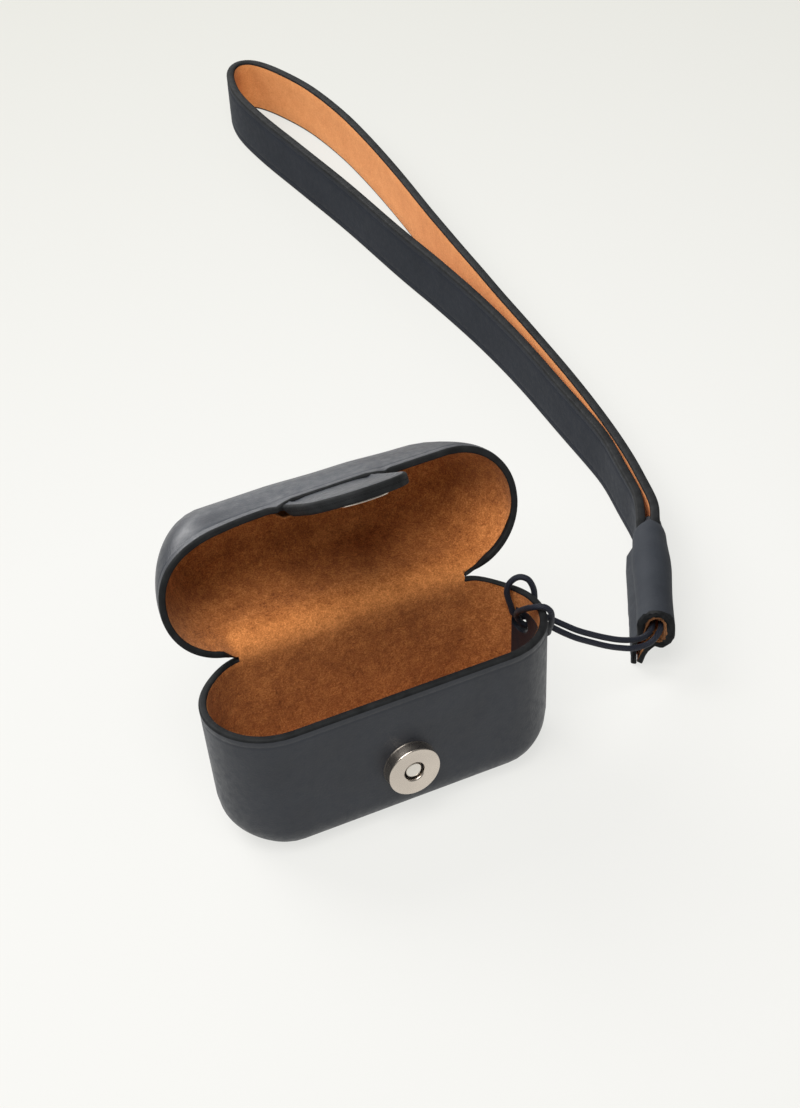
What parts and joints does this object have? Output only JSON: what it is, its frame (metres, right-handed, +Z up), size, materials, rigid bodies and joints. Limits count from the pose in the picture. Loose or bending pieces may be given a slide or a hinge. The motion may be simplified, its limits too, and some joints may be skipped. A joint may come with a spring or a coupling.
{
  "type": "earbud case cover",
  "caption": "Moulded leather clamshell cover for a pocket earbud case, suede lined, with a hinged lid, magnetic snap tab and a wrist strap on a cord.",
  "frame": {"origin": "middle of the flat underside of the base", "axes": "+X along the width towards the lanyard end, front (snap side) faces -Y, +Z up"},
  "size_m": [0.1335, 0.2816, 0.0724],
  "materials": {
    "leather_navy": "fine grained, satin",
    "suede_tan": "brushed suede, matt",
    "nickel": "polished nickel plate",
    "steel": "plain plated steel",
    "magnet": "dark sintered magnet",
    "cord_dark": "waxed round cord"
  },
  "bodies": {
    "base": {"base_shell": "leather_navy", "base_lining": "suede_tan", "lanyard_patch": "leather_navy", "hinge_leather": "leather_navy", "hinge_lining": "suede_tan", "snap_cap": "nickel", "snap_magnet": "magnet", "snap_plate": "steel", "snap_washer": "steel", "cord": "cord_dark"},
    "lid": {"lid_shell": "leather_navy", "lid_lining": "suede_tan"},
    "tab": {"tab_outer": "leather_navy", "tab_lining": "leather_navy", "snap_disc": "nickel", "snap_post": "nickel", "snap_legs": "steel", "snap_tab_washer": "steel"},
    "strap": {"strap_outer": "leather_navy", "strap_lining": "suede_tan", "keeper_outer": "leather_navy", "keeper_lining": "suede_tan"}
  },
  "joints": [
    {"name": "lid_hinge", "type": "hinge", "parent": "base", "child": "lid", "pos_m": [0, 0.01255, 0.0333], "axis": [1, 0, 0], "range_deg": [-38, 98.5], "deforming": ["hinge_leather", "hinge_lining"]},
    {"name": "tab_flex", "type": "hinge", "parent": "lid", "child": "tab", "pos_m": [0, 0.01396, 0.05878], "axis": [1, 0, 0], "range_deg": [-60, 0], "deforming": ["tab_outer"]},
    {"name": "strap_swing", "type": "hinge", "parent": "base", "child": "strap", "pos_m": [0.0365, 0.001, 0.0215], "axis": [0, 0, 1], "range_deg": [-60, 60], "deforming": ["cord"]}
  ]
}
